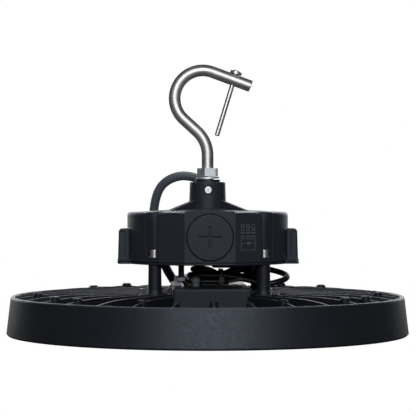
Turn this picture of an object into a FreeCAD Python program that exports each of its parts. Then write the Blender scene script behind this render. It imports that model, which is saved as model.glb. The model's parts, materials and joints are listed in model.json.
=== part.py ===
import FreeCAD, Part
import math
import os
from FreeCAD import Vector as V, Rotation, Placement

# Round LED high bay light: one cast heat sink with its rim, a sealed driver box
# on four cast legs, and a rod hook screwed into the collar of the box.
# Millimetres, +Z up, origin in the middle of the rim's lower edge.
# -Y is the side with the port plug.

os.makedirs("parts", exist_ok=True)

# ---------------------------------------------------------------- dimensions
RIM_R_BOTTOM = 170.6      # outside radius of the rim at its lower edge
RIM_R_TOP = 166.9         # outside radius of the rim at its upper edge
RIM_H = 32.3              # height of the rim
RIM_T = 3.4               # wall of the rim
FLOOR_Z0 = 17.0           # underside of the heat sink's floor
FLOOR_T = 4.0
LEDGE_Z = 12.5            # seat of the lens gasket
FIN_N = 32
FIN_T = 2.0
FIN_TOP = 35.5            # flat part of the fins' top edge
FIN_FLAT_R = 112.0
# round stubs on the fins, counted both ways from the front fin: radius, kind (20 is the left-hand one of 12)
STUBS = {0: (145.0, "big"), 1: (145.0, "low"), 2: (143.0, "big"), 4: (149.5, "big"), 5: (150.5, "big"),
         7: (145.0, "big"), 9: (148.0, "low"), 12: (152.0, "mid"), 13: (127.0, "tall"), 15: (145.0, "low"),
         16: (145.0, "mid"), 20: (142.0, "mid")}
SHORT_FIN_R = 137.0       # the three fins before the block start here
BLOCK_X = (-30.5, 33.3)   # raised block in the middle of the heat sink
BLOCK_Y = (-75.0, 71.0)
BLOCK_Z = 41.4
LEG_XY = 45.0             # legs stand at (+-LEG_XY, +-LEG_XY)
LEG_R0, LEG_R1 = 5.9, 5.35
BOX_Z0 = 60.0             # underside of the driver box
BASE_T = 1.8
GASKET_T = 0.6
BOX_R = 68.4
BOX_SIDE_Z = 103.3        # top of the side wall
BOX_APEX_Z = 106.4        # top plate at the collar
FACET_D = 64.8            # distance of the port facet from the axis
SIDE_FACET_D = 67.2
SIDE_FACET_A = 26.7
WALL = 3.0
CHANNEL_R0, CHANNEL_R1 = 5.7, 7.4
CHANNEL_Z = 66.3
LUG_R = 75.7
LUG_Z1 = 89.6
LUG_W = 30.0
PLUG_Z = 82.9
PLUG_R = 19.0
COLLAR_R0, COLLAR_R1 = 16.0, 15.15
COLLAR_Z = 128.9
HOOK_R = 5.0              # M10 rod
HOOK_BEND = (-4.1, 200.1, 24.0)     # centre x, z and radius of the big bend
HOOK_LOW = (28.0, 151.5)            # radius and start height of the lower bend
HOOK_TIP_SLOPE = 20.2
HOOK_TIP_X = 36.9
SCREW_LEAN = 17.0         # of the safety screw from upright
NUT_AF = 16.0
POWER_D = 8.0
DIM_D = 5.0
LEAD_D = 5.0

Z = V(0, 0, 1)


# ------------------------------------------------------------------- helpers
def save(name, shape):
    shape = shape.copy()
    ok = shape.isValid()
    n = len(shape.Solids)
    vol = shape.Volume
    if n == 1:
        shape = shape.Solids[0]
    shape.exportStep("parts/%s.step" % name)
    print("%-22s solids %3d  volume %10.1f  valid %s" % (name, n, vol, ok))
    ALL[name] = shape


ALL = {}


def cyl(r, z0, z1, x=0.0, y=0.0):
    return Part.makeCylinder(r, z1 - z0, V(x, y, z0), Z)


def cone(r0, r1, z0, z1, x=0.0, y=0.0):
    return Part.makeCone(r0, r1, z1 - z0, V(x, y, z0), Z)


def tube(ro, ri, z0, z1, x=0.0, y=0.0):
    return cyl(ro, z0, z1, x, y).cut(cyl(ri, z0 - 1, z1 + 1, x, y))


def box(x0, x1, y0, y1, z0, z1):
    return Part.makeBox(x1 - x0, y1 - y0, z1 - z0, V(x0, y0, z0))


def rod(p, d, r, length):
    return Part.makeCylinder(r, length, V(*p), V(*d))


def rbox(x0, x1, y0, y1, z0, z1, r):
    b = box(x0, x1, y0, y1, z0, z1)
    es = [e for e in b.Edges if abs(e.Vertexes[0].Z - e.Vertexes[1].Z) > 1e-6]
    return b.makeFillet(r, es)


def spun(pts):
    """Solid of revolution about Z of a closed outline of (r, z) points."""
    w = Part.makePolygon([V(r, 0, z) for r, z in pts + [pts[0]]])
    return Part.Face(w).revolve(V(0, 0, 0), Z, 360)


def hexagon(af, z0, z1, turn=0.0, x=0.0, y=0.0):
    rr = af / 2.0 / math.cos(math.radians(30))
    pts = []
    for k in range(7):
        a = math.radians(60 * k + turn)
        pts.append(V(x + rr * math.cos(a), y + rr * math.sin(a), z0))
    return Part.Face(Part.makePolygon(pts)).extrude(V(0, 0, z1 - z0))


def turned(shape, deg):
    s = shape.copy()
    s.rotate(V(0, 0, 0), Z, deg)
    return s


def fillet(shape, r, pick, label):
    es = [e for e in shape.Edges if pick(e)]
    if not es:
        print("   no edges for", label)
        return shape
    try:
        s = shape.makeFillet(r, es)
        if s.isValid() and len(s.Solids) == 1:
            return s
    except Exception as ex:
        print("   fillet left out:", label, ex)
    return shape


def route_wire(points, radius_names=""):
    """Straight runs joined by the largest tangent arcs, in one wire."""
    P = [V(*p) for p in points]
    edges = []
    start = P[0]
    radii = []
    for i in range(1, len(P) - 1):
        a, b, c = P[i - 1], P[i], P[i + 1]
        u = (b - a)
        v = (c - b)
        lu, lv = u.Length, v.Length
        u.normalize()
        v.normalize()
        turn = math.acos(max(-1, min(1, u.dot(v))))
        t = 0.45 * min(lu, lv)
        r = t / math.tan(turn / 2)
        radii.append(round(r, 1))
        p1 = b - u * t
        p2 = b + v * t
        w = (v - u)
        w.normalize()
        h = r / math.cos(turn / 2) - r
        mid = b + w * h
        edges.append(Part.LineSegment(start, p1).toShape())
        edges.append(Part.Arc(p1, mid, p2).toShape())
        start = p2
    edges.append(Part.LineSegment(start, P[-1]).toShape())
    return Part.Wire(edges), radii


def cord(name, points, dia):
    wire, radii = route_wire(points)
    d = V(*points[1]) - V(*points[0])
    circ = Part.Wire(Part.makeCircle(dia / 2.0, V(*points[0]), d))
    s = wire.makePipeShell([circ], True, True)
    want = math.pi * dia * dia / 4 * wire.Length
    print("%s: length %.1f, radii %s, volume %.1f against %.1f" % (
        name, wire.Length, radii, s.Volume, want))
    return s


# ------------------------------------------------------- heat sink, one casting
def rim_out(z):
    return RIM_R_BOTTOM + (RIM_R_TOP - RIM_R_BOTTOM) * z / RIM_H


rim = spun([(RIM_R_BOTTOM - RIM_T - 0.4, 0), (RIM_R_BOTTOM - 1.2, 0), (RIM_R_BOTTOM, 1.2),
            (rim_out(RIM_H - 1.3), RIM_H - 1.3), (rim_out(RIM_H - 0.4) - 0.35, RIM_H - 0.4), (rim_out(RIM_H) - 1.2, RIM_H),
            (RIM_R_TOP - RIM_T + 0.9, RIM_H), (RIM_R_TOP - RIM_T, RIM_H - 0.9),
            (RIM_R_BOTTOM - RIM_T - 1.4, FLOOR_Z0)])
floor_ = cyl(RIM_R_BOTTOM - RIM_T - 1.6, FLOOR_Z0, FLOOR_Z0 + FLOOR_T)
ledge = tube(RIM_R_BOTTOM - RIM_T - 0.9, 143.0, LEDGE_Z, FLOOR_Z0 + 0.5)

# One fin: flat along the middle, then a falling curve down to the rim.
r1 = RIM_R_TOP - 1.3
a = V(28, 0, FLOOR_Z0 + 0.5)
b = V(r1, 0, FLOOR_Z0 + 0.5)
c = V(r1, 0, RIM_H - 0.9)
m = V((r1 + FIN_FLAT_R) / 2, 0, FIN_TOP - 0.85)
d = V(FIN_FLAT_R, 0, FIN_TOP)
e = V(28, 0, FIN_TOP)
fin_face = Part.Face(Part.Wire([
    Part.LineSegment(a, b).toShape(), Part.LineSegment(b, c).toShape(),
    Part.Arc(c, m, d).toShape(), Part.LineSegment(d, e).toShape(),
    Part.LineSegment(e, a).toShape()]))
fin = fin_face.extrude(V(0, FIN_T, 0))
fin.translate(V(0, -FIN_T / 2, 0))


def stub(r, kind):
    if kind == "big":
        return cyl(3.7, FLOOR_Z0 + 0.5, 35.5, r, 0).fuse(cyl(3.0, 35, 36.3, r, 0))
    if kind == "tall":
        return cyl(4.3, FLOOR_Z0 + 0.5, 36.6, r, 0).fuse(cyl(3.3, 36, 37.6, r, 0))
    if kind == "mid":
        return cyl(4.3, FLOOR_Z0 + 0.5, 34.9, r, 0).fuse(cyl(3.3, 34, 35.8, r, 0))
    return cyl(2.6, FLOOR_Z0 + 0.5, 34.3, r, 0)


short = fin.copy().cut(box(20, SHORT_FIN_R, -5, 5, 10, 45))
items = [floor_, ledge]
for k in range(FIN_N):
    ang = -90 + k * 360.0 / FIN_N
    j = min(k, FIN_N - k)
    items.append(turned(short if j < 2 else fin, ang))
    key = k if k in STUBS else j
    if key in STUBS:
        items.append(turned(stub(*STUBS[key]), ang))
block = rbox(BLOCK_X[0], BLOCK_X[1], BLOCK_Y[0], BLOCK_Y[1], FLOOR_Z0 + 0.5, BLOCK_Z, 2.0)
block = fillet(block, 1.2, lambda e: all(abs(v.Z - BLOCK_Z) < 1e-6 for v in e.Vertexes), "block top")
items.append(block)
legs_xy = [(sx * LEG_XY, sy * LEG_XY) for sx in (-1, 1) for sy in (-1, 1)]
for x, y in legs_xy:
    items.append(cone(LEG_R0, LEG_R1, FLOOR_Z0 + 0.5, BOX_Z0, x, y))
    # round wall about the foot of the leg, and its flare
    items.append(tube(13.2, 11.2, FLOOR_Z0 + 0.5, FIN_TOP + 0.4, x, y))
    items.append(cone(8.4, 5.7, FIN_TOP - 5, FIN_TOP + 3.5, x, y))
heat = turned(rim.fuse(floor_).fuse(ledge), 5.6).removeSplitter()
heat = heat.fuse(block)
rest = [i for i in items if i is not floor_ and i is not ledge and i is not block]
for k in range(0, len(rest)):
    nxt = heat.fuse(rest[k])
    if len(nxt.Solids) != 1 or not nxt.isValid():
        print("   fuse trouble at item", k)
    heat = nxt
# wiring pocket inside the block, open below
heat = heat.cut(rbox(-24, 24, -66, 66, FLOOR_Z0 - 1, BLOCK_Z - 5.0, 4))
# tapped holes: legs, lens ring
cuts = []
for x, y in legs_xy:
    cuts.append(cyl(2.1, BOX_Z0 - 16, BOX_Z0 + 1, x, y))
RING_SCREW_N, RING_SCREW_PCR = 12, 158.0
ring_xy = []
for k in range(RING_SCREW_N):
    t = math.radians(15 + 30 * k)
    ring_xy.append((RING_SCREW_PCR * math.cos(t), RING_SCREW_PCR * math.sin(t)))
for x, y in ring_xy:
    cuts.append(cyl(1.7, LEDGE_Z - 1, LEDGE_Z + 6.5, x, y))
# entries in the block's top: LED lead and breather
LEAD_IN = (-16.2, -19.0)
VENT = (-10.6, -25.4)
cuts.append(cyl(3.2, BLOCK_Z - 8, BLOCK_Z + 1, LEAD_IN[0], LEAD_IN[1]))
cuts.append(cyl(2.2, BLOCK_Z - 8, BLOCK_Z + 1, VENT[0], VENT[1]))
# screw of the lead clip
CLIP = (-25.6, -10.0)
cuts.append(cyl(1.3, BLOCK_Z - 4.5, BLOCK_Z + 1, CLIP[0], CLIP[1]))
heat = heat.cut(Part.makeCompound(cuts))
save("heat_sink", heat)

# ------------------------------------------------------------- light engine
BOARD_Z = 15.4
pad = cyl(138.5, 16.6, FLOOR_Z0).cut(rbox(-24, 24, -66, 66, 10, 20, 4))
save("thermal_pad", pad)
board = cyl(140.0, BOARD_Z, 16.6).cut(cyl(5.0, 10, 20, 0, 0))
for k in range(6):
    t = math.radians(30 + 60 * k)
    board = board.cut(cyl(1.7, 10, 20, 134 * math.cos(t), 134 * math.sin(t)))
save("led_board", board)
chips, lens_xy = [], []
for rr, n in ((38.0, 12), (63.0, 20), (88.0, 28), (113.0, 36)):
    for k in range(n):
        t = 2 * math.pi * (k + 0.5) / n
        x, y = rr * math.cos(t), rr * math.sin(t)
        lens_xy.append((x, y))
        chip = box(-1.75, 1.75, -1.75, 1.75, BOARD_Z - 0.75, BOARD_Z)
        chip.rotate(V(0, 0, 0), Z, math.degrees(t))
        chip.translate(V(x, y, 0))
        chips.append(chip)
save("led_chips", Part.makeCompound(chips))
# board screws up into the floor are inside the lens; short pan heads
screws = []
for k in range(6):
    t = math.radians(30 + 60 * k)
    x, y = 134 * math.cos(t), 134 * math.sin(t)
    screws.append(cyl(2.8, BOARD_Z - 1.8, BOARD_Z, x, y).fuse(cyl(1.5, BOARD_Z - 1, 16.6, x, y)))
save("led_board_screws", Part.makeCompound(screws))
connector = rbox(-9, 9, -5, 5, BOARD_Z - 0.0 - 2.6, BOARD_Z, 1.0)
connector.translate(V(0, 17, 0))
save("led_connector", connector)

# moulded lens: flat plate with a shallow dome under each LED
plate = cyl(151.5, 8.5, 11.5)
domes = []
for x, y in lens_xy:
    s = Part.makeSphere(6.6, V(x, y, 9.6))
    domes.append(s)
dome_c = Part.makeCompound(domes).common(cyl(152, 2.0, 9.0))
lens = plate.multiFuse(dome_c.Solids)
save("lens", lens)
save("lens_gasket", tube(151.0, 144.5, 11.5, LEDGE_Z))
ring = spun([(143.5, 5.2), (162.6, 5.2), (163.6, 6.0), (163.6, LEDGE_Z), (152.2, LEDGE_Z), (152.2, 8.5), (145.5, 8.5), (143.5, 6.6)])
holes = [cyl(2.1, 4, 14, x, y) for x, y in ring_xy]
ring = ring.cut(Part.makeCompound(holes))
save("lens_ring", ring)
rs = []
for x, y in ring_xy:
    s = cyl(3.5, 3.2, 5.2, x, y).fuse(cyl(1.6, 4.5, LEDGE_Z + 5.5, x, y))
    s = s.cut(box(x - 2.0, x + 2.0, y - 0.35, y + 0.35, 3.0, 4.2)).cut(box(x - 0.35, x + 0.35, y - 2.0, y + 2.0, 3.0, 4.2))
    rs.append(s)
save("lens_ring_screws", Part.makeCompound(rs))

# ------------------------------------------------------------- driver box
HZ0 = BOX_Z0 + BASE_T + GASKET_T      # lower edge of the housing


def plan(off, z0, z1):
    """Round box with three flat facets at the front and three at the back."""
    s = cyl(BOX_R - off, z0, z1)
    for base in (0, 180):
        for da, dist in ((0, FACET_D), (SIDE_FACET_A, SIDE_FACET_D), (-SIDE_FACET_A, SIDE_FACET_D)):
            b = box(-60, 60, -140, -(dist - off), z0 - 1, z1 + 1)
            b.rotate(V(0, 0, 0), Z, base + da)
            s = s.cut(b)
    return s


slope = (BOX_APEX_Z - BOX_SIDE_Z) / (BOX_R - COLLAR_R0)
shell = plan(0.0, HZ0, BOX_APEX_Z + 1)
top_cut = spun([(COLLAR_R0 - 1, BOX_APEX_Z + slope), (BOX_R - 2.6, BOX_SIDE_Z + 2.6 * slope),
                (BOX_R - 1.2, BOX_SIDE_Z - 0.25), (BOX_R - 0.4, BOX_SIDE_Z - 1.0), (BOX_R, BOX_SIDE_Z - 2.2),
                (BOX_R + 8, BOX_SIDE_Z - 2.2),
                (BOX_R + 8, BOX_APEX_Z + 5), (COLLAR_R0 - 1, BOX_APEX_Z + 5)])
# the panel above the middle facets, front and back, stands a little higher
panel = box(-20.6, 20.6, -90, -38, 90, 104.5)
top_cut = top_cut.cut(panel).cut(turned(panel, 180))
shell = shell.cut(top_cut)
shell = shell.cut(cyl(COLLAR_R0, BOX_APEX_Z, BOX_APEX_Z + 5))
# proud band round the lower edge
band = plan(-0.7, HZ0, HZ0 + 1.1)
shell = shell.fuse(band)
# bracket lugs at the two sides
for sx in (-1, 1):
    w = Part.makePolygon([V(50, 0, HZ0), V(LUG_R + 0.7, 0, HZ0), V(LUG_R + 0.45, 0, HZ0 + 1.6), V(LUG_R + 0.3, 0, HZ0 + 4),
                          V(LUG_R - 0.3, 0, LUG_Z1 - 2.4), V(LUG_R - 1.0, 0, LUG_Z1 - 0.8), V(LUG_R - 2.4, 0, LUG_Z1), V(50, 0, LUG_Z1), V(50, 0, HZ0)])
    lug = Part.Face(w).extrude(V(0, LUG_W, 0))
    lug.translate(V(0, -LUG_W / 2, 0))
    if sx < 0:
        lug = turned(lug, 180)
    # shallow panel in the front and back faces of the lug
    for sy in (-1, 1):
        xa, xb = sorted((sx * 70.2, sx * 75.0))
        ya, yb = sorted((sy * (LUG_W / 2 - 0.7), sy * (LUG_W / 2 + 1)))
        lug = lug.cut(box(xa, xb, ya, yb, HZ0 + 3.2, LUG_Z1 - 2.2))
    shell = shell.fuse(lug)
    # flare of the band at the foot of the lug
    fl = rbox(min(sx * 50, sx * (LUG_R + 0.7)), max(sx * 50, sx * (LUG_R + 0.7)), -24, 24, HZ0, HZ0 + 1.1, 3)
    shell = shell.fuse(fl)
# collar and its four ribs
collar = cone(COLLAR_R0, COLLAR_R1, 103.5, COLLAR_Z)
collar = fillet(collar, 0.9, lambda e: e.BoundBox.ZMin > COLLAR_Z - 0.1, "collar top")
shell = shell.fuse(collar)
for k in range(4):
    w = Part.makePolygon([V(8, 0, 102.5), V(50, 0, 102.5), V(48.6, 0, 104.0), V(15.4, 0, 113.8), V(8, 0, 113.8), V(8, 0, 102.5)])
    rib = Part.Face(w).extrude(V(0, 3.2, 0))
    rib.translate(V(0, -1.6, 0))
    shell = shell.fuse(turned(rib, 45 + 90 * k))
# seat of the power cord gland on the top, behind the collar
GLAND = (5.2, 36.0)
shell = shell.fuse(cyl(12.5, 101, 105.6, *GLAND)).cut(cyl(12.5, 105.6, 112, *GLAND))
# inside of the box
cav = plan(WALL, HZ0 - 1, 110)
cav = cav.cut(spun([(0, BOX_APEX_Z - WALL), (BOX_R + 8, BOX_SIDE_Z - 8 * slope - WALL), (BOX_R + 8, 120), (0, 120)]))
for x, y in legs_xy:
    cav = cav.cut(cone(CHANNEL_R0 + 2.6, CHANNEL_R1 + 2.6, HZ0 - 2, 112, x, y))
BASE_SCREWS = [(sx * 24.4, sy * 55.4) for sx in (-1, 1) for sy in (-1, 1)]
for x, y in BASE_SCREWS:
    cav = cav.cut(cyl(5.0, HZ0 - 2, 76, x, y))
# boss about the port and the seat of the hook bush
port_boss = rod((0, -FACET_D + 1, PLUG_Z), (0, 1, 0), 21.4, 9.6)
cav = cav.cut(port_boss)
cav = cav.cut(cyl(14.5, 98, 120))
shell = shell.cut(cav)
# screw channels, open to the outside and to the top
for x, y in legs_xy:
    ch = cone(CHANNEL_R0, CHANNEL_R1, CHANNEL_Z, 112, x, y)
    dx, dy = x / math.hypot(x, y), y / math.hypot(x, y)
    w0, w1 = CHANNEL_R0, CHANNEL_R1
    P = []
    for zz, ww in ((CHANNEL_Z, w0), (112, w1)):
        P.append([V(x - dy * ww, y + dx * ww, zz), V(x + dy * ww, y - dx * ww, zz),
                  V(x + dy * ww + dx * 20, y - dx * ww + dy * 20, zz), V(x - dy * ww + dx * 20, y + dx * ww + dy * 20, zz)])
    lof = Part.makeLoft([Part.makePolygon(p + [p[0]]) for p in P], True, True)
    shell = shell.cut(ch.fuse(lof))
    shell = shell.cut(cyl(2.7, HZ0 - 1, CHANNEL_Z + 1, x, y))
# little arched notches low on the wall beside the channels
for sx in (-1, 1):
    for sy in (-1, 1):
        ang = math.degrees(math.atan2(sy * 23.0, sx * 64.0))
        n1 = box(66.2, 72, -5.0, 5.0, HZ0 + 1.1, HZ0 + 5.5).fuse(
            Part.makeCylinder(5.0, 6, V(66.2, 0, HZ0 + 5.5), V(1, 0, 0)))
        n1 = n1.cut(box(60, 80, -0.9, 0.9, HZ0 - 2, HZ0 + 20))
        shell = shell.cut(turned(n1, ang))
# port: recess, threaded bore
shell = shell.cut(rod((0, -FACET_D - 3, PLUG_Z), (0, 1, 0), PLUG_R + 0.45, 3 + 2.4))
shell = shell.cut(rod((0, -FACET_D - 3, PLUG_Z), (0, 1, 0), 15.6, 20))
# hook bush, gland, cross holes
shell = shell.cut(cyl(9.6, 106.5, COLLAR_Z + 1))
shell = shell.cut(rod((0, -20, 121.9), (0, 1, 0), 1.95, 14))
shell = shell.cut(rod((0, -20, 121.9), (0, 1, 0), 3.7, 20 - 13.9))
shell = shell.cut(cyl(7.7, 90, 112, *GLAND))
for x, y in BASE_SCREWS:
    shell = shell.cut(cyl(1.5, HZ0 - 1, 73, x, y))
# bracket holes in the lugs, tapped M8
for sx in (-1, 1):
    shell = shell.cut(rod((sx * (LUG_R + 3), 0, 75.5), (-sx, 0, 0), 3.4, 3 + 9.5))
    # metal behind the bracket hole is left by the wall and this boss
for so in shell.Solids:
    print("   housing solid", round(so.Volume, 1), so.BoundBox)
save("driver_housing", shell)

# flat base plate under the box
base = plan(-0.7, BOX_Z0, BOX_Z0 + BASE_T)
for sx in (-1, 1):
    base = base.fuse(rbox(min(sx * 50, sx * (LUG_R + 0.7)), max(sx * 50, sx * (LUG_R + 0.7)), -24, 24, BOX_Z0, BOX_Z0 + BASE_T, 3))
base = fillet(base, 1.3, lambda e: e.BoundBox.ZMax < BOX_Z0 + 0.01, "base lower edge")
base = base.fuse(rbox(4, 40, -16, 16, BOX_Z0 - 3.6, BOX_Z0 + 0.5, 5))
DIM_EXIT = (48.0, 23.0)
LEAD_OUT = (-22.8, -20.0)
for x, y in legs_xy:
    base = base.cut(cyl(2.7, 55, 65, x, y))
for x, y in BASE_SCREWS:
    base = base.cut(cyl(1.8, 55, 65, x, y)).cut(cone(3.4, 1.8, BOX_Z0, BOX_Z0 + 1.4, x, y))
base = base.cut(cyl(3.5, 55, 65, *DIM_EXIT)).cut(cyl(3.5, 55, 65, *LEAD_OUT))
save("driver_base", base)

gasket = plan(1.6, HZ0 - GASKET_T, HZ0).cut(plan(5.6, HZ0 - 2, HZ0 + 1))
for x, y in legs_xy:
    gasket = gasket.fuse(cyl(6.0, HZ0 - GASKET_T, HZ0, x, y).common(plan(1.6, HZ0 - GASKET_T, HZ0)))
for x, y in BASE_SCREWS:
    gasket = gasket.fuse(cyl(4.6, HZ0 - GASKET_T, HZ0, x, y).common(plan(1.6, HZ0 - GASKET_T, HZ0)))
for x, y in legs_xy:
    gasket = gasket.cut(cyl(2.7, 55, 65, x, y))
for x, y in BASE_SCREWS:
    gasket = gasket.cut(cyl(1.8, 55, 65, x, y))
save("driver_gasket", gasket)

bs = []
for x, y in BASE_SCREWS:
    s = cone(3.35, 1.75, BOX_Z0, BOX_Z0 + 1.4, x, y).fuse(cyl(1.4, BOX_Z0, 71.5, x, y))
    s = s.cut(box(x - 1.8, x + 1.8, y - 0.35, y + 0.35, BOX_Z0 - 1, BOX_Z0 + 0.8))
    s = s.cut(box(x - 0.35, x + 0.35, y - 1.8, y + 1.8, BOX_Z0 - 1, BOX_Z0 + 0.8))
    bs.append(s)
save("driver_base_screws", Part.makeCompound(bs))

# screws that hold the box down on the legs
ls, lw, lf = [], [], []
for x, y in legs_xy:
    head = cyl(4.0, CHANNEL_Z + 2.6, CHANNEL_Z + 6.2, x, y)
    head = fillet(head, 0.8, lambda e: e.BoundBox.ZMin > CHANNEL_Z + 6.1, "leg screw head")
    s = head.fuse(cyl(2.0, 46.5, CHANNEL_Z + 3, x, y))
    s = s.cut(box(x - 2.3, x + 2.3, y - 0.45, y + 0.45, CHANNEL_Z + 4.6, CHANNEL_Z + 8))
    s = s.cut(box(x - 0.45, x + 0.45, y - 2.3, y + 2.3, CHANNEL_Z + 4.6, CHANNEL_Z + 8))
    ls.append(s)
    w = tube(3.9, 2.15, CHANNEL_Z + 1.1, CHANNEL_Z + 2.6, x, y)
    w = w.cut(box(x, x + 6, y - 0.4, y + 0.4, CHANNEL_Z, CHANNEL_Z + 4))
    lw.append(w)
    lf.append(tube(4.9, 2.15, CHANNEL_Z, CHANNEL_Z + 1.1, x, y))
save("leg_screws", Part.makeCompound(ls))
save("leg_spring_washers", Part.makeCompound(lw))
save("leg_flat_washers", Part.makeCompound(lf))

# port plug with a cross slot, and its seal
plug = rod((0, -FACET_D - 0.7, PLUG_Z), (0, 1, 0), PLUG_R, 2.5)
plug = fillet(plug, 0.7, lambda e: e.BoundBox.YMax < -FACET_D - 0.6, "plug edge")
plug = plug.fuse(rod((0, -FACET_D + 1.8, PLUG_Z), (0, 1, 0), 15.3, 8.0))
plug = plug.cut(rod((0, -FACET_D + 4.6, PLUG_Z), (0, 1, 0), 12.5, 8.0))
yy0, yy1 = -FACET_D - 2, -FACET_D + 1.0
slot = box(-8.2, 8.2, yy0, yy1, PLUG_Z - 1.0, PLUG_Z + 1.0).fuse(box(-1.0, 1.0, yy0, yy1, PLUG_Z - 8.2, PLUG_Z + 8.2))
for dx, dz in ((8.0, 0), (-8.0, 0), (0, 8.0), (0, -8.0)):
    slot = slot.fuse(rod((dx, yy0, PLUG_Z + dz), (0, 1, 0), 1.3, yy1 - yy0))
plug = plug.cut(slot)
save("port_plug", plug)
seal = rod((0, -FACET_D + 1.8, PLUG_Z), (0, 1, 0), 17.6, 0.6).cut(rod((0, -FACET_D + 1, PLUG_Z), (0, 1, 0), 15.7, 3))
save("port_plug_seal", seal)

# selector behind the plug: small board-mounted slide switch on the driver board
BRD_Z = 68.0
sw_y = -47.0
sw = box(-9, 9, sw_y - 3.2, sw_y + 3.2, 79, 87)
sw = sw.cut(box(-5.0, 5.0, sw_y - 2.75, sw_y + 0.4, 81.2, 84.8))
sw = sw.cut(box(-3.4, 3.4, sw_y - 4, sw_y - 2.7, 81.85, 84.15))
sw = sw.fuse(box(-9, 9, sw_y - 0.6, sw_y + 3.2, BRD_Z + 1.6, 79))
save("selector_switch", sw)
sl = box(-2.4, 2.4, sw_y - 2.6, sw_y + 0.2, 81.35, 84.65)
sl = sl.fuse(box(-1.2, 1.2, sw_y - 5.4, sw_y - 2.5, 82.0, 84.0))
save("selector_slider", sl)

# driver electronics
pcb = box(-46, 46, -48.5, 40, BRD_Z, BRD_Z + 1.6)
for x, y in legs_xy:
    pcb = pcb.cut(cyl(11.5, 60, 100, x, y))
pcb = pcb.cut(cyl(6, 60, 80, -22.8, -20)).cut(cyl(6, 60, 80, *DIM_EXIT))
pst = []
for x, y in ((-40, 0), (40, -6), (0, -30), (0, 34)):
    pcb = pcb.cut(cyl(1.7, 60, 80, x, y))
    s = cyl(1.5, BRD_Z - 4, BRD_Z + 1.6, x, y).fuse(cyl(3.0, BRD_Z + 1.6, BRD_Z + 3.6, x, y))
    s = s.fuse(cyl(3.2, BOX_Z0 + BASE_T, BRD_Z, x, y))
    pst.append(s)
save("driver_board", pcb)
save("driver_board_posts", Part.makeCompound(pst))
tr = rbox(-14, 16, -6, 24, BRD_Z + 1.6, BRD_Z + 24, 2).fuse(rbox(-10, 12, -10, 28, BRD_Z + 5, BRD_Z + 20, 2))
save("driver_transformer", tr)
caps = []
for x, y in ((-34, -14), (-34, 10), (-30, 30)):
    c_ = cyl(8.0, BRD_Z + 1.6, BRD_Z + 27, x, y)
    c_ = fillet(c_, 0.8, lambda e: e.BoundBox.ZMin > BRD_Z + 26, "cap")
    caps.append(c_)
save("driver_capacitors", Part.makeCompound(caps))
sink = box(30, 33, -34, 4, BRD_Z + 1.6, BRD_Z + 26)
for k in range(4):
    sink = sink.fuse(box(33, 40, -34 + 9 * k, -32.4 + 9 * k, BRD_Z + 5, BRD_Z + 26))
save("driver_heat_spreader", sink)

# ------------------------------------------------------------- hook
cx, cz, cr = HOOK_BEND
lr, lz = HOOK_LOW
C1 = V(cx, 0, cz)
C2 = V(-lr, 0, lz)
dv = C1 - C2
dd = dv.Length
base_a = math.atan2(dv.z, dv.x)
# inner common tangent of the two bends; the rod leaves the lower bend on its
# right side and joins the big bend on its left side
phi = math.acos((cr + lr) / dd)
a2 = base_a - phi
T2 = C2 + V(math.cos(a2) * lr, 0, math.sin(a2) * lr)
T1 = C1 - V(math.cos(a2) * cr, 0, math.sin(a2) * cr)
ta = math.radians(90 - HOOK_TIP_SLOPE)
T3 = C1 + V(math.cos(ta) * cr, 0, math.sin(ta) * cr)
tipd = V(math.cos(math.radians(-HOOK_TIP_SLOPE)), 0, math.sin(math.radians(-HOOK_TIP_SLOPE)))
END = T3 + tipd * ((HOOK_TIP_X - T3.x) / tipd.x)
mid2 = C2 + V(math.cos(a2 / 2) * lr, 0, math.sin(a2 / 2) * lr)
start_a = math.atan2((T1 - C1).z, (T1 - C1).x) % (2 * math.pi)
mid_a = (start_a + ta) / 2
mid1 = C1 + V(math.cos(mid_a) * cr, 0, math.sin(mid_a) * cr)
HOOK_Z0 = 110.0
path = Part.Wire([
    Part.LineSegment(V(0, 0, HOOK_Z0), V(0, 0, lz)).toShape(),
    Part.Arc(V(0, 0, lz), mid2, T2).toShape(),
    Part.LineSegment(T2, T1).toShape(),
    Part.Arc(T1, mid1, T3).toShape(),
    Part.LineSegment(T3, END).toShape()])
prof = Part.Wire(Part.makeCircle(HOOK_R, V(0, 0, HOOK_Z0), Z))
hook = path.makePipeShell([prof], True, True)
print("hook length %.1f top %.2f tip %.1f %.1f tangent %.1f %.1f -> %.1f %.1f volume %.0f of %.0f" % (
    path.Length, hook.BoundBox.ZMax, END.x, END.z, T2.x, T2.z, T1.x, T1.z, hook.Volume,
    path.Length * math.pi * HOOK_R ** 2))
hook = fillet(hook, 0.8, lambda e: len(e.Vertexes) == 1 and (e.CenterOfMass - END).Length < 0.3, "hook tip")
SCREW_D = V(-math.sin(math.radians(SCREW_LEAN)), 0, -math.cos(math.radians(SCREW_LEAN)))
SCREW_P = T3 + tipd * ((22.4 - T3.x) / tipd.x)
hole = Part.makeCylinder(2.05, 30, SCREW_P - SCREW_D * 15, SCREW_D)
hook = hook.cut(hole)
# cone-point seat of the lock screw in the shank
hook = hook.cut(rod((0, -20, 121.9), (0, 1, 0), 1.0, 16.0))
save("hook", hook)

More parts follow.
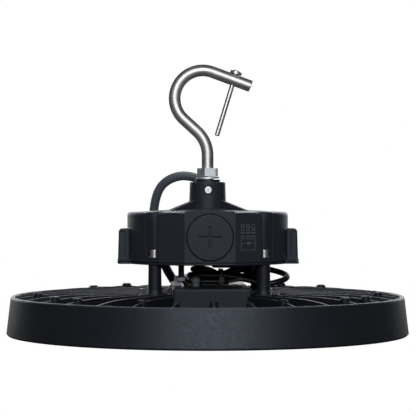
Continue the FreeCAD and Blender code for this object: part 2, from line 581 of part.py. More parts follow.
sc = Part.makeCylinder(2.0, 54.4, SCREW_P - SCREW_D * 5.3, SCREW_D)
tip_c = Part.makeCone(2.0, 1.5, 0.6, SCREW_P + SCREW_D * 49.1, SCREW_D)
hd = Part.makeCylinder(4.9, 2.2, SCREW_P - SCREW_D * 7.5, SCREW_D)
dome = Part.makeSphere(7.0, SCREW_P - SCREW_D * 1.7).common(Part.makeCylinder(4.9, 4.0, SCREW_P - SCREW_D * 11.5, SCREW_D))
hs = sc.fuse(tip_c).fuse(hd).fuse(dome)
cross = box(-2.4, 2.4, -0.5, 0.5, -1.4, 4).fuse(box(-0.5, 0.5, -2.4, 2.4, -1.4, 4))
cross.Placement = Placement(SCREW_P - SCREW_D * 8.9, Rotation(Z, SCREW_D * -1))
hs = hs.cut(cross)
save("hook_safety_screw", hs)

ad = cyl(10.7, COLLAR_Z, COLLAR_Z + 2.1).fuse(cyl(9.5, 107.5, COLLAR_Z + 0.5))
ad = ad.cut(cyl(5.05, 100, 140))
ad = ad.cut(rod((0, -20, 121.9), (0, 1, 0), 1.95, 18))
save("hook_bush", ad)
wz = (COLLAR_Z + 2.1 + 133.8) / 2
hw = tube(9.9, 5.5, wz - 0.8, wz + 0.8)
hw = fillet(hw, 0.5, lambda e: e.BoundBox.ZMin > wz + 0.7 and e.BoundBox.XLength > 15, "washer")
hw.rotate(V(0, 0, wz), V(0, 1, 0), -2.6)
save("hook_washer", hw)
nut = hexagon(NUT_AF, 133.8, 140.7, 13.4).cut(cyl(5.05, 130, 145))
chf = spun([(0, 133.0), (8.3, 133.0), (9.6, 134.3), (9.6, 140.2), (8.3, 141.5), (0, 141.5)])
nut = nut.common(chf)
save("hook_nut", nut)
lk = rod((0, -15.9, 121.9), (0, 1, 0), 3.4, 2.0)
lk = fillet(lk, 0.9, lambda e: e.BoundBox.YMax < -15.8, "lock head")
lk = lk.fuse(rod((0, -14.5, 121.9), (0, 1, 0), 1.85, 9.2)).fuse(rod((0, -6, 121.9), (0, 1, 0), 0.95, 1.9))
lk = lk.cut(box(-1.8, 1.8, -18, -15.0, 121.6, 122.2)).cut(box(-0.3, 0.3, -18, -15.0, 120.1, 123.7))
save("hook_lock_screw", lk)

# ------------------------------------------------------------- cables
POWER_TOP = 109.5
gl = hexagon(19.0, 105.6, 107.4, 10, *GLAND).fuse(cyl(7.6, 97.5, 107, *GLAND))
gl = gl.fuse(cone(8.6, 6.6, 107.4, POWER_TOP, *GLAND))
save("power_gland", gl.cut(cyl(3.0, 96, 106, *GLAND)))
ln = hexagon(18.0, 97.8, 100.2, 0, *GLAND).cut(cyl(7.65, 96, 106, *GLAND))
save("power_gland_nut", ln)
POWER_ROUTE = [(5.2, 36.0, 109.5), (5.2, 36.0, 118.0), (0.2, 38.0, 127.6), (-10.0, 40.8, 133.2), (-25.5, 45.0, 134.0),
               (-39.5, 51.5, 125.6), (-45.0, 59.5, 108.0), (-45.2, 66.0, 88.0), (-41.5, 67.5, 68.5),
               (-34.8, 68.5, 52.5), (-29.6, 78.5, 43.6), (-27.8, 93.0, 39.9), (-24.6, 109.0, 40.2),
               (-21.6, 125.0, 40.0), (-18.6, 139.5, 40.3), (-8.5, 149.5, 40.6), (6.0, 152.0, 40.6),
               (21.0, 149.6, 40.5), (36.0, 145.8, 40.5), (50.0, 139.0, 40.4)]
pc = cord("power_cord", POWER_ROUTE, POWER_D)
save("power_cord", pc)

dg = cyl(4.6, BOX_Z0 - 2.6, BOX_Z0, *DIM_EXIT).fuse(cyl(3.4, BOX_Z0 - 1, BOX_Z0 + BASE_T + 0.2, *DIM_EXIT))
dg = dg.fuse(cyl(4.6, BOX_Z0 + BASE_T, BOX_Z0 + BASE_T + 1.6, *DIM_EXIT))
save("dimming_grommet", dg)
lg = cyl(4.6, BOX_Z0 - 1.6, BOX_Z0, *LEAD_OUT).fuse(cyl(3.4, BOX_Z0 - 1, BOX_Z0 + BASE_T + 0.2, *LEAD_OUT))
lg = lg.fuse(cyl(4.6, BOX_Z0 + BASE_T, BOX_Z0 + BASE_T + 1.6, *LEAD_OUT))
save("lead_grommet_upper", lg)
lead_route = [(LEAD_OUT[0], LEAD_OUT[1], BOX_Z0 - 1.6), (LEAD_OUT[0], LEAD_OUT[1], 49.6),
              (LEAD_OUT[0] + 2.2, LEAD_OUT[1], 45.6), (LEAD_IN[0], LEAD_IN[1], BLOCK_Z + 1.2)]
ldc = cord("led_lead", lead_route, LEAD_D)
lg2 = cyl(4.4, BLOCK_Z, BLOCK_Z + 1.2, *LEAD_IN).fuse(cyl(3.1, BLOCK_Z - 5, BLOCK_Z + 0.2, *LEAD_IN))
lg2 = lg2.cut(ldc)
save("led_lead", ldc.cut(lg2))
save("lead_grommet_lower", lg2)
vp = cyl(2.1, BLOCK_Z - 5, BLOCK_Z + 0.5, *VENT).fuse(cyl(3.2, BLOCK_Z, BLOCK_Z + 4.5, *VENT))
vp = vp.fuse(Part.makeSphere(3.95, V(VENT[0], VENT[1], 46.0)))
save("vent_plug", vp)

# tied hank of the dimming cable, outer shape of its turns
HZ = 42.1
hb = rbox(-18, 52, -13, 14, HZ, 53.6, 6.0)
lobe = tube(20.5, 12.0, -3.2, 3.2)
lobe = lobe.cut(box(-40, 0, -40, 40, -5, 5))
lobe.rotate(V(0, 0, 0), V(1, 0, 0), 16)
lobe.translate(V(52, 2, 48.6))
dt = cyl(DIM_D / 2, 53.0, BOX_Z0 - 2.6, *DIM_EXIT)
arm = box(42, 53, 11, 25.6, 45.0, 53.6)
hank = hb.fuse(lobe).fuse(arm)

for x, y in legs_xy:
    hank = hank.cut(cyl(7.6, 30, 59, x, y))
hank = hank.cut(dt)
print("hank solids", len(hank.Solids), "box", hank.BoundBox)
save("dimming_hank", hank)
save("dimming_cable", dt)
tie = rbox(9.5, 13.1, -14.1, 15.1, HZ - 0.6, 54.7, 0.8)
tie = tie.cut(hb).cut(box(5, 20, -13.1, 14.1, HZ - 0.1, 53.7))
tie = tie.fuse(box(9.0, 13.6, -18.2, -14.0, 44.0, 48.5))
tie = tie.cut(hank)
print("tie solids", len(tie.Solids))
save("hank_tie", tie)

# clip that holds the LED lead, one screw into the block
clip = rbox(CLIP[0] - 3.0, CLIP[0] + 3.0, CLIP[1] - 7.2, CLIP[1] + 3.4, BLOCK_Z, BLOCK_Z + 1.4, 0.8)
clip = clip.fuse(box(CLIP[0] - 3.0, CLIP[0] + 3.0, CLIP[1] - 7.2, CLIP[1] - 6.0, BLOCK_Z, BLOCK_Z + 8.6))
clip = clip.fuse(cyl(4.0, 45.8, 48.6, *LEAD_OUT))
clip = clip.cut(cyl(3.0, 40.7, 55, *LEAD_OUT)).cut(cyl(1.6, 30, 50, *CLIP))
clip = clip.cut(cord("room for the lead", lead_route, LEAD_D + 0.4))
clip = clip.Solids[0]
save("lead_clip", clip)
cs = cyl(2.4, BLOCK_Z + 1.4, BLOCK_Z + 3.0, *CLIP).fuse(cyl(1.25, BLOCK_Z - 4, BLOCK_Z + 2, *CLIP))
save("lead_clip_screw", cs)

print("nodes", len(ALL))
tot = Part.makeCompound(list(ALL.values())).BoundBox
print("box", tot)
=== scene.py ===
import bpy
import bmesh
import json
import math
from mathutils import Vector, Matrix, Euler

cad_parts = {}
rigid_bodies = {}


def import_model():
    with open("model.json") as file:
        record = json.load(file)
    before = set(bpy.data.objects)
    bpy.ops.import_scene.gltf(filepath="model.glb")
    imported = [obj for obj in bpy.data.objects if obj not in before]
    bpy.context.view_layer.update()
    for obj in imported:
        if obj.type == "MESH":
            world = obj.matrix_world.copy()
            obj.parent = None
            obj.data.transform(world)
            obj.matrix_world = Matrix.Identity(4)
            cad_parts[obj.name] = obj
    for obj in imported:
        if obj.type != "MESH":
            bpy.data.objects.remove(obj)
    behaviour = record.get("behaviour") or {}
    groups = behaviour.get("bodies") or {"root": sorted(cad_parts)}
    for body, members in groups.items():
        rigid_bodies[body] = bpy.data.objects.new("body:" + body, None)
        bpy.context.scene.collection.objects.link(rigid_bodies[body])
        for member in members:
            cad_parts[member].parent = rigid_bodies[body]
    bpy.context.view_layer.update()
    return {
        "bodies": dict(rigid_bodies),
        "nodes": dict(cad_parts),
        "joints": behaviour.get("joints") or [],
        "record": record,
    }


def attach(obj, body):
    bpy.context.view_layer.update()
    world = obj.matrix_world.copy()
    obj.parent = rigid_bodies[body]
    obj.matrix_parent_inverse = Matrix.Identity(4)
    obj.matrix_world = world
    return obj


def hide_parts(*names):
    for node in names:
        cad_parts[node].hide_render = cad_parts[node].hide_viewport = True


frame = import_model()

NODES = frame["nodes"]
MM = 0.001


# ------------------------------------------------------------------ camera
def look(loc, target):
    return (Vector(target) - Vector(loc)).to_track_quat("-Z", "Y").to_euler()


cam_data = bpy.data.cameras.new("camera")
cam = bpy.data.objects.new("camera", cam_data)
bpy.context.scene.collection.objects.link(cam)
CAM_A = math.radians(-1.8)
cam.location = (1.45 * math.sin(CAM_A), -1.45 * math.cos(CAM_A), 0.1153)
cam.rotation_euler = look(cam.location, (0.00035, 0.0, 0.1068))
cam_data.sensor_width = 36.0
cam_data.lens = 147.1
cam_data.clip_start, cam_data.clip_end = 0.05, 60.0
bpy.context.scene.camera = cam


# --------------------------------------------------------------- materials
def new_mat(name, color, rough=0.5, metal=0.0, spec=0.5, coat=0.0, coat_rough=0.1):
    m = bpy.data.materials.new(name)
    m.use_nodes = True
    nt = m.node_tree
    b = nt.nodes["Principled BSDF"]
    b.inputs["Base Color"].default_value = (*color, 1.0)
    b.inputs["Roughness"].default_value = rough
    b.inputs["Metallic"].default_value = metal
    b.inputs["Specular IOR Level"].default_value = spec
    b.inputs["Coat Weight"].default_value = coat
    b.inputs["Coat Roughness"].default_value = coat_rough
    return m, nt, b


def coords(nt, scale=(1, 1, 1)):
    tc = nt.nodes.new("ShaderNodeTexCoord")
    mp = nt.nodes.new("ShaderNodeMapping")
    mp.inputs["Scale"].default_value = scale
    nt.links.new(tc.outputs["Object"], mp.inputs["Vector"])
    return mp.outputs["Vector"]


def noise(nt, vec, scale, detail=2.0, rough=0.5):
    n = nt.nodes.new("ShaderNodeTexNoise")
    n.inputs["Scale"].default_value = scale
    n.inputs["Detail"].default_value = detail
    n.inputs["Roughness"].default_value = rough
    nt.links.new(vec, n.inputs["Vector"])
    return n.outputs["Fac"]


def ramp(nt, fac, stops):
    r = nt.nodes.new("ShaderNodeValToRGB")
    els = r.color_ramp.elements
    while len(els) > 1:
        els.remove(els[-1])
    els[0].position, els[0].color = stops[0][0], (*stops[0][1], 1)
    for p, c in stops[1:]:
        e = els.new(p)
        e.color = (*c, 1)
    nt.links.new(fac, r.inputs["Fac"])
    return r.outputs["Color"]


def remap(nt, fac, a, b, lo=0.0, hi=1.0):
    n = nt.nodes.new("ShaderNodeMapRange")
    n.inputs["From Min"].default_value = lo
    n.inputs["From Max"].default_value = hi
    n.inputs["To Min"].default_value = a
    n.inputs["To Max"].default_value = b
    nt.links.new(fac, n.inputs["Value"])
    return n.outputs["Result"]


def edge_normal(nt, radius):
    """Slightly rounded edges for the shading of a sharp-edged casting."""
    bv = nt.nodes.new("ShaderNodeBevel")
    bv.samples = 4
    bv.inputs["Radius"].default_value = radius
    return bv.outputs["Normal"]


def bump(nt, b, height, strength, distance, normal=None):
    n = nt.nodes.new("ShaderNodeBump")
    n.inputs["Strength"].default_value = strength
    n.inputs["Distance"].default_value = distance
    nt.links.new(height, n.inputs["Height"])
    if normal is not None:
        nt.links.new(normal, n.inputs["Normal"])
    nt.links.new(n.outputs["Normal"], b.inputs["Normal"])
    return n


def powder(name, c0, c1, rough, grain=900.0, strength=0.35, edge=0.0005, spec=0.5):
    """Fine-textured black powder coat on a casting."""
    m, nt, b = new_mat(name, c0, rough, 0.0, spec)
    b.inputs["Specular Tint"].default_value = (0.76, 0.85, 1.0, 1.0)
    v = coords(nt)
    big = noise(nt, v, 14.0, 3.0)
    col = ramp(nt, big, [(0.3, c0), (0.7, c1)])
    nt.links.new(col, b.inputs["Base Color"])
    fine = noise(nt, v, grain, 2.0, 0.6)
    mid = noise(nt, v, grain * 0.35, 2.0, 0.5)
    nt.links.new(remap(nt, mid, rough - 0.05, rough + 0.07, 0.3, 0.7), b.inputs["Roughness"])
    bump(nt, b, fine, strength, 0.00012, edge_normal(nt, edge))
    return m


def moulded(name, c0, c1, rough, grain=500.0, strength=0.12, edge=0.0003, spec=0.5):
    m, nt, b = new_mat(name, c0, rough, 0.0, spec)
    v = coords(nt)
    big = noise(nt, v, 40.0, 3.0)
    nt.links.new(ramp(nt, big, [(0.3, c0), (0.7, c1)]), b.inputs["Base Color"])
    nt.links.new(remap(nt, noise(nt, v, 120.0, 3.0), rough - 0.06, rough + 0.08, 0.3, 0.7), b.inputs["Roughness"])
    bump(nt, b, noise(nt, v, grain, 2.0), strength, 0.00008, edge_normal(nt, edge))
    return m


def metal(name, c0, c1, rough, stretch=(1, 1, 1), scale=300.0, strength=0.08, edge=0.0):
    """Bright metal with fine drawn or turned marks, and painted shade on its edges."""
    m, nt, b = new_mat(name, c0, rough, 1.0, 0.5)
    # painted shade: the dark grey specular tint darkens the reflection at grazing angles, standing in for dark
    # surroundings reflected along the edges
    b.inputs["Specular Tint"].default_value = (0.30, 0.30, 0.31, 1.0)
    v = coords(nt, stretch)
    marks = noise(nt, v, scale, 4.0, 0.6)
    nt.links.new(ramp(nt, marks, [(0.35, c0), (0.65, c1)]), b.inputs["Base Color"])
    nt.links.new(remap(nt, marks, max(0.02, rough - 0.06), rough + 0.08, 0.3, 0.7), b.inputs["Roughness"])
    if strength:
        bump(nt, b, marks, strength, 0.00004, edge_normal(nt, edge) if edge else None)
    return m


def cable(name, c0, c1, rough, ring=2600.0, strength=0.15, spec=0.5):
    """Extruded jacket: faint mottling and a very fine skin."""
    m, nt, b = new_mat(name, c0, rough, 0.0, spec)
    v = coords(nt)
    big = noise(nt, v, 60.0, 3.0)
    nt.links.new(ramp(nt, big, [(0.3, c0), (0.7, c1)]), b.inputs["Base Color"])
    nt.links.new(remap(nt, noise(nt, v, 220.0, 3.0), rough - 0.06, rough + 0.08, 0.3, 0.7), b.inputs["Roughness"])
    bump(nt, b, noise(nt, v, ring, 2.0), strength, 0.00006)
    return m


M = {}
M["coat_rim"] = powder("coat_rim", (0.0095, 0.0100, 0.0135), (0.0125, 0.0132, 0.0172), 0.44, 1100.0, 0.55, 0.0016, 0.60)

# painted shade: inside the rim radius the legs, fins and driver block get a lower specular level, so they read darker,
# standing in for the shade under the driver box
nt_ = M["coat_rim"].node_tree
shade_radius = nt_.nodes.new("ShaderNodeVectorMath")
shade_radius.operation = "LENGTH"
nt_.links.new(coords(nt_, (1, 1, 0)), shade_radius.inputs[0])
nt_.links.new(remap(nt_, shade_radius.outputs["Value"], 0.34, 0.58, 0.158, 0.164), nt_.nodes["Principled BSDF"].inputs["Specular IOR Level"])
M["coat_box"] = powder("coat_box", (0.0235, 0.0255, 0.0350), (0.0290, 0.0315, 0.0425), 0.43, 1300.0, 0.35, 0.0010, 0.29)
M["coat_base"] = powder("coat_base", (0.024, 0.026, 0.034), (0.029, 0.032, 0.041), 0.40, 1300.0, 0.35, 0.0012, 0.50)
M["plug"] = moulded("plug_plastic", (0.0130, 0.0142, 0.0200), (0.0165, 0.0180, 0.0250), 0.42, 1400.0, 0.25, 0.0008, 0.36)
M["plug"].node_tree.nodes["Principled BSDF"].inputs["Specular Tint"].default_value = (0.82, 0.89, 1.0, 1.0)
M["dark_plastic"] = moulded("dark_plastic", (0.008, 0.008, 0.010), (0.012, 0.012, 0.014), 0.38)
M["rubber"] = moulded("rubber_black", (0.007, 0.007, 0.008), (0.012, 0.012, 0.013), 0.62, 900.0, 0.3)
M["hook"] = metal("hook_steel", (0.77, 0.745, 0.74), (0.81, 0.79, 0.785), 0.43, (1, 1, 1), 45.0, 0.0)
M["zinc"] = metal("zinc_plate", (0.80, 0.84, 0.88), (0.90, 0.94, 0.98), 0.50, (1, 1, 1), 180.0, 0.0, 0.0003)
M["screw_steel"] = metal("screw_steel", (0.66, 0.64, 0.62), (0.78, 0.76, 0.74), 0.38, (1, 1, 1), 260.0, 0.0)
M["cord"] = cable("cord_jacket", (0.080, 0.090, 0.110), (0.105, 0.116, 0.140), 0.42)
M["cable"] = cable("cable_jacket", (0.005, 0.005, 0.0065), (0.009, 0.009, 0.011), 0.38, spec=0.38)
M["vent"] = moulded("vent_plastic", (0.085, 0.095, 0.110), (0.115, 0.125, 0.145), 0.42)
M["nylon"] = moulded("nylon_light", (0.38, 0.38, 0.44), (0.50, 0.50, 0.57), 0.42)
M["white"] = moulded("white_plastic", (0.70, 0.70, 0.68), (0.80, 0.80, 0.78), 0.45)
M["pcb_white"] = moulded("board_white", (0.74, 0.75, 0.74), (0.84, 0.85, 0.84), 0.40)
M["pcb_green"] = moulded("board_green", (0.010, 0.085, 0.035), (0.018, 0.120, 0.052), 0.35)
M["phosphor"] = moulded("led_phosphor", (0.80, 0.55, 0.10), (0.92, 0.68, 0.18), 0.35)
M["pad"] = moulded("thermal_pad", (0.25, 0.26, 0.28), (0.32, 0.33, 0.35), 0.7)
M["can"] = moulded("capacitor_can", (0.02, 0.02, 0.025), (0.04, 0.04, 0.045), 0.25)
M["alu"] = metal("bare_aluminium", (0.74, 0.75, 0.76), (0.86, 0.87, 0.88), 0.35, (1, 1, 30), 200.0)
M["copper"] = metal("tinned_wire", (0.72, 0.71, 0.70), (0.88, 0.87, 0.86), 0.22, (1, 1, 1), 1500.0)


def lens_material():
    m, nt, b = new_mat("lens_clear", (0.80, 0.83, 0.86), 0.18, 0.0, 0.5)
    b.inputs["Transmission Weight"].default_value = 0.72
    b.inputs["IOR"].default_value = 1.585
    v = coords(nt)
    nt.links.new(ramp(nt, noise(nt, v, 30.0, 2.0), [(0.3, (0.78, 0.81, 0.84)), (0.7, (0.84, 0.87, 0.90))]), b.inputs["Base Color"])
    nt.links.new(remap(nt, noise(nt, v, 260.0, 3.0), 0.12, 0.26, 0.3, 0.7), b.inputs["Roughness"])
    bump(nt, b, noise(nt, v, 700.0, 2.0), 0.10, 0.00006, edge_normal(nt, 0.0004))
    return m


M["lens"] = lens_material()

CAD_LOOK = {
    "heat_sink": "coat_rim", "lens_ring": "coat_rim", "driver_housing": "coat_box", "driver_base": "coat_base",
    "thermal_pad": "pad", "led_board": "pcb_white", "led_chips": "phosphor", "led_board_screws": "screw_steel",
    "led_connector": "white", "lens": "lens", "lens_gasket": "rubber", "lens_ring_screws": "screw_steel",
    "driver_gasket": "rubber", "driver_base_screws": "screw_steel", "leg_screws": "screw_steel",
    "leg_spring_washers": "screw_steel", "leg_flat_washers": "screw_steel", "port_plug": "plug",
    "port_plug_seal": "rubber", "selector_switch": "dark_plastic", "selector_slider": "white",
    "driver_board": "pcb_green", "driver_board_posts": "screw_steel", "driver_transformer": "dark_plastic",
    "driver_capacitors": "can", "driver_heat_spreader": "alu", "hook": "hook", "hook_safety_screw": "screw_steel",
    "hook_bush": "dark_plastic", "hook_washer": "zinc", "hook_nut": "zinc", "hook_lock_screw": "screw_steel",
    "power_gland": "dark_plastic", "power_gland_nut": "dark_plastic", "dimming_grommet": "rubber",
    "lead_grommet_upper": "rubber", "lead_grommet_lower": "rubber", "vent_plug": "vent", "led_lead": "cable",
    "lead_clip": "nylon", "lead_clip_screw": "screw_steel",
}


def set_mat(o, m):
    o.data.materials.clear()
    o.data.materials.append(m)


for node, key in CAD_LOOK.items():
    set_mat(NODES[node], M[key])

MAIN = "fixture"


def add_mesh(name, bm, mat, smooth=True):
    me = bpy.data.meshes.new(name)
    bm.normal_update()
    bm.to_mesh(me)
    bm.free()
    o = bpy.data.objects.new(name, me)
    bpy.context.scene.collection.objects.link(o)
    me.materials.append(mat)
    if smooth:
        for p in me.polygons:
            p.use_smooth = True
    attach(o, MAIN)
    return o


# ------------------------------------------------------------------- cords
def nurbs(name, pts, dia, mat, resolution=12, order=3):
    cu = bpy.data.curves.new(name, "CURVE")
    cu.dimensions = "3D"
    cu.bevel_depth = dia / 2
    cu.bevel_resolution = 6
    cu.resolution_u = resolution
    cu.use_fill_caps = True
    sp = cu.splines.new("NURBS")
    sp.points.add(len(pts) - 1)
    for p, q in zip(sp.points, pts):
        p.co = (q[0] * MM, q[1] * MM, q[2] * MM, 1.0)
    sp.order_u = order
    sp.use_endpoint_u = True
    cu.materials.append(mat)
    o = bpy.data.objects.new(name, cu)
    bpy.context.scene.collection.objects.link(o)
    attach(o, MAIN)
    return o


def line_of(curve_obj):
    """Points down the middle of a cord, read from its own spline."""
    bare = bpy.data.objects.new("bare_tmp", curve_obj.data.copy())
    bare.data.bevel_depth = 0
    me = bpy.data.meshes.new_from_object(bare)
    pts = [v.co.copy() for v in me.vertices]
    bpy.data.meshes.remove(me)
    cd = bare.data
    bpy.data.objects.remove(bare)
    bpy.data.curves.remove(cd)
    return pts


def length_of(pts):
    return sum((b - a).length for a, b in zip(pts, pts[1:]))


POWER_ROUTE = [(5.2, 36.0, 109.5), (5.2, 36.0, 118.0), (0.2, 38.0, 127.6), (-10.4, 40.8, 134.2), (-26.0, 45.0, 135.2),
               (-40.6, 51.5, 126.5), (-46.0, 59.5, 108.5), (-46.2, 66.0, 88.0), (-41.5, 67.5, 68.5),
               (-34.8, 68.5, 52.5), (-29.6, 78.5, 43.6), (-27.8, 93.0, 39.9), (-24.6, 109.0, 40.2),
               (-21.6, 125.0, 40.0), (-18.6, 139.5, 40.3), (-8.5, 149.5, 40.6), (6.0, 152.0, 40.6),
               (18.0, 150.2, 40.5), (31.0, 147.2, 40.5), (43.0, 142.4, 40.4)]
power = nurbs("power_cord_jacket", POWER_ROUTE, 0.008, M["cord"])
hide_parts("power_cord")
power_line = line_of(power)

# hank of the dimming cable: three turns bound by one tie, one of which stands out at the right-hand end
def arc(cx, cy, r, a0, a1, z0, z1, n):
    out = []
    for i in range(n):
        t = i / (n - 1)
        a = math.radians(a0 + (a1 - a0) * t)
        out.append((cx + r * math.cos(a), cy + r * math.sin(a), z0 + (z1 - z0) * t))
    return out


HANK = [(48.0, 23.0, 57.4), (48.0, 23.0, 55.0), (47.4, 22.4, 51.6), (45.3, 20.6, 48.4), (41.8, 17.4, 46.7), (36.0, 12.4, 47.0),
        (30.0, 9.2, 48.4), (24.0, 6.8, 49.4), (17.0, 5.5, 49.7), (11.3, 5.1, 49.9), (7.6, 5.6, 50.9), (4.6, 6.8, 52.4), (1.4, 8.7, 54.0)]
# first turn: its left end stands over the others
HANK += arc(-2.2, 0.0, 10.5, 98, 262, 54.7, 54.8, 7)
HANK += [(1.4, -8.7, 54.3), (4.6, -6.8, 52.8), (7.6, -5.6, 51.2), (11.3, -5.1, 50.3), (15.0, -6.0, 51.0), (19.0, -8.0, 53.2)]
# right-hand end
HANK += arc(26.4, 0.0, 10.6, -100, 95, 54.6, 54.4, 9)
HANK += [(21.5, 10.9, 53.6), (17.0, 10.8, 51.2), (11.3, 10.7, 49.8), (4.0, 10.7, 49.7)]
HANK += arc(-4.6, 0.0, 10.8, 92, 268, 49.7, 49.7, 9)
HANK += [(4.0, -10.7, 49.7), (11.3, -10.6, 49.7), (20.0, -10.8, 49.0), (30.0, -11.6, 46.9), (40.0, -13.0, 44.4)]
# the turn that stands out at the right
HANK += arc(52.6, 2.0, 15.6, -100, 95, 42.2, 54.2, 13)
HANK += [(46.0, 18.2, 54.6), (41.0, 18.6, 53.4), (36.0, 18.0, 50.8), (30.0, 15.2, 46.8), (24.0, 12.2, 45.0), (17.0, 10.9, 44.7),
         (11.3, 10.7, 44.7), (4.0, 10.7, 44.7)]
HANK += arc(-4.6, 0.0, 10.8, 92, 268, 44.7, 44.7, 9)
HANK += [(4.0, -10.7, 44.7), (9.0, -10.9, 44.7), (13.0, -11.8, 44.7), (17.4, -13.6, 44.8)]
dim = nurbs("dimming_cable_jacket", HANK, 0.005, M["cable"], 8, 4)
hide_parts("dimming_cable", "dimming_hank")
dim_line = line_of(dim)


def wire(name, pts, r, mat, segs=10):
    cu = bpy.data.curves.new(name, "CURVE")
    cu.dimensions = "3D"
    cu.bevel_depth = r
    cu.bevel_resolution = 3
    cu.use_fill_caps = True
    sp = cu.splines.new("NURBS")
    sp.points.add(len(pts) - 1)
    for p, q in zip(sp.points, pts):
        p.co = (*q, 1.0)
    sp.order_u = 3
    sp.use_endpoint_u = True
    cu.materials.append(mat)
    o = bpy.data.objects.new(name, cu)
    me = bpy.data.meshes.new_from_object(o)
    bpy.data.objects.remove(o)
    bm = bmesh.new()
    bm.from_mesh(me)
    bpy.data.meshes.remove(me)
    return add_mesh(name, bm, mat)


core_cols = {"core_black": (0.012, 0.012, 0.013), "core_pale": (0.62, 0.62, 0.60), "core_green": (0.02, 0.16, 0.05),
             "core_violet": (0.16, 0.09, 0.30), "core_grey": (0.20, 0.20, 0.21)}
for k_, c_ in core_cols.items():
    M[k_] = moulded(k_, c_, tuple(min(1, x * 1.3) for x in c_), 0.42)


def bare_end(tag, line, names, r_core, r_jacket, spread, length, lift=Vector((0, 0, 0))):
    """Stripped end: coloured cores out of the jacket, each with a tinned tip."""
    end = line[-1]
    d = (line[-1] - line[-2]).normalized()
    side = d.cross(Vector((0, 0, 1))).normalized()
    up = side.cross(d)
    out = []
    n = len(names)
    for i, nm in enumerate(names):
        a = 2 * math.pi * i / n + 0.6
        off = (side * math.cos(a) + up * math.sin(a)) * r_jacket
        fan = side * spread * (i - (n - 1) / 2)
        p0 = end - d * 0.004 + off
        p1 = end + d * 0.003 + off
        p2 = end + d * length * 0.30 + off * 1.1 + fan * 0.4 + lift * 0.2
        p3 = end + d * length * 0.50 + off + fan * 0.8 + lift * 0.5
        p4 = end + d * length + off * 0.8 + fan + lift
        o = wire(f"{tag}_core_{i+1}", [p0, p1, p2, p3], r_core, M[nm])
        t = wire(f"{tag}_tip_{i+1}", [p3 - (p3 - p2).normalized() * 0.001, (p3 + p4) / 2, p4], r_core * 0.62, M["copper"])
        out += [o, t]
    return out


power_ends = bare_end("power_cord", power_line, ["core_black", "core_pale", "core_green"], 0.0013, 0.0017, 0.0020, 0.013)
dim_ends = bare_end("dimming_cable", dim_line, ["core_black", "core_grey"], 0.0009, 0.0011, 0.0014, 0.012, Vector((0.0, 0.0, 0.0022)))

M["tie"] = moulded("tie_nylon_black", (0.004, 0.004, 0.005), (0.006, 0.006, 0.007), 0.45)
set_mat(NODES["hank_tie"], M["tie"])
print("lengths", round(length_of(power_line), 4), round(length_of(dim_line), 4))


# --------------------------------------------------- marks beside the port plug
def mark_material():
    m, nt, b = new_mat("mark_print", (0.16, 0.16, 0.17), 0.5)
    v = coords(nt)
    nt.links.new(ramp(nt, noise(nt, v, 900.0, 2.0), [(0.35, (0.085, 0.085, 0.095)), (0.65, (0.15, 0.15, 0.16))]), b.inputs["Base Color"])
    bump(nt, b, noise(nt, v, 1200.0, 2.0), 0.2, 0.00005)
    return m


M["mark"] = mark_material()

def setting_marks():
    """Plain printed setting diagram on the facet to the right of the port plug: three small
    switch outlines, two rows of short bars and a framed box. There is no lettering."""
    n = Vector((0.449, -0.893, 0.0)).normalized()
    t = Vector((0.893, 0.449, 0.0)).normalized()
    u0 = 1.27 + (Vector((30.2, -60.05, 0.0))).dot(t)
    lo, hi = 67.19, 67.30
    bm = bmesh.new()

    def bar(u, z, w, h):
        vs = []
        for d in (lo, hi):
            for a, b_ in ((-1, -1), (1, -1), (1, 1), (-1, 1)):
                p = n * d + t * (u0 + u + a * w / 2)
                vs.append(bm.verts.new((p.x * MM, p.y * MM, (z + b_ * h / 2) * MM)))
        for f in ((0, 1, 2, 3), (7, 6, 5, 4), (0, 4, 5, 1), (1, 5, 6, 2), (2, 6, 7, 3), (3, 7, 4, 0)):
            bm.faces.new([vs[k] for k in f])

    def frame(u, z, w, h, k):
        bar(u, z + (h - k) / 2, w, k)
        bar(u, z - (h - k) / 2, w, k)
        bar(u - (w - k) / 2, z, k, h - 2 * k)
        bar(u + (w - k) / 2, z, k, h - 2 * k)

    for j, u in enumerate((-5.0, 0.1, 5.0)):
        frame(u, 91.1, 3.1, 5.2, 0.38)
        bar(u, 92.2 - 1.1 * j, 1.1, 1.3)
        for z in (86.8, 84.0):
            bar(u, z, 3.9, 0.75)
    frame(0.0, 77.4, 13.6, 9.8, 0.42)
    bar(0.6, 78.3, 3.6, 1.7)
    bar(-4.2, 78.3, 2.2, 0.5)
    bar(4.9, 78.3, 1.6, 0.5)
    bmesh.ops.recalc_face_normals(bm, faces=bm.faces)
    return add_mesh("setting_marks", bm, M["mark"], smooth=False)


setting_marks()

# ------------------------------------------------------------- floor and light
bm = bmesh.new()
for x, y in ((-30, -30), (30, -30), (30, 30), (-30, 30)):
    bm.verts.new((x, y, 0))
bm.faces.new(bm.verts)
me = bpy.data.meshes.new("floor")
bm.to_mesh(me)
bm.free()
floor = bpy.data.objects.new("floor", me)
floor.location = (0, 0, -0.0002)
bpy.context.scene.collection.objects.link(floor)

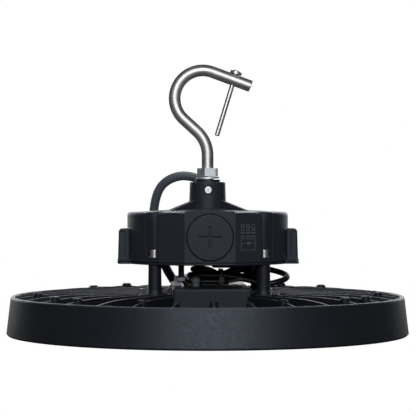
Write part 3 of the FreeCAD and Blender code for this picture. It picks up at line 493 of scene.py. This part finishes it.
# a pale floor that the eye sees as white, and that throws back little light
fm = bpy.data.materials.new("floor_pale")
fm.use_nodes = True
nt = fm.node_tree
b = nt.nodes["Principled BSDF"]
b.inputs["Base Color"].default_value = (0.10, 0.10, 0.105, 1)
b.inputs["Roughness"].default_value = 0.9
b.inputs["Specular IOR Level"].default_value = 0.1
em = nt.nodes.new("ShaderNodeEmission")
em.inputs["Color"].default_value = (1, 1, 1, 1)
em.inputs["Strength"].default_value = 1.0
lp = nt.nodes.new("ShaderNodeLightPath")
mx = nt.nodes.new("ShaderNodeMixShader")
nt.links.new(lp.outputs["Is Camera Ray"], mx.inputs[0])
nt.links.new(b.outputs[0], mx.inputs[1])
nt.links.new(em.outputs[0], mx.inputs[2])
nt.links.new(mx.outputs[0], nt.nodes["Material Output"].inputs["Surface"])
me.materials.append(fm)

bpy.context.scene.view_settings.view_transform = "Standard"
world = bpy.data.worlds.new("world")
bpy.context.scene.world = world
world.use_nodes = True
nt = world.node_tree
bg = nt.nodes["Background"]
bg.inputs["Color"].default_value = (1.0, 1.0, 1.0, 1.0)
bg.inputs["Strength"].default_value = 1.0
dim_bg = nt.nodes.new("ShaderNodeBackground")
dim_bg.inputs["Color"].default_value = (0.85, 0.92, 1.0, 1.0)
dim_bg.inputs["Strength"].default_value = 0.06
lp = nt.nodes.new("ShaderNodeLightPath")
mx = nt.nodes.new("ShaderNodeMixShader")
nt.links.new(lp.outputs["Is Camera Ray"], mx.inputs[0])
nt.links.new(dim_bg.outputs[0], mx.inputs[1])
nt.links.new(bg.outputs[0], mx.inputs[2])
nt.links.new(mx.outputs[0], nt.nodes["World Output"].inputs["Surface"])


def area(name, loc, target, size, power, size_y=None, color=(1, 1, 1)):
    d = bpy.data.lights.new(name, "AREA")
    d.energy = power
    d.size = size
    if size_y:
        d.shape = "RECTANGLE"
        d.size_y = size_y
    d.color = color
    o = bpy.data.objects.new(name, d)
    o.location = loc
    o.rotation_euler = look(loc, target)
    o.visible_camera = False
    bpy.context.scene.collection.objects.link(o)
    return o


area("front_soft", (0.0, -2.4, 0.95), (0, 0, 0.10), 2.3, 36, 1.1, (0.97, 0.98, 1.0))
top = area("top_soft", (0.0, 0.3, 1.9), (0, 0, 0.1), 1.5, 20, 1.2)
back = area("back_panel", (0.0, 2.6, 0.75), (0, 0, 0.10), 4.2, 46, 1.4)
# the bright metal is kept out of the top and back light, which would burn out its edges
keep = bpy.data.collections.new("no_edge_light")
for k_ in ("hook", "hook_safety_screw"):
    keep.objects.link(NODES[k_])
for c_ in keep.collection_objects:
    c_.light_linking.link_state = "EXCLUDE"
back.light_linking.receiver_collection = keep
top.light_linking.receiver_collection = keep
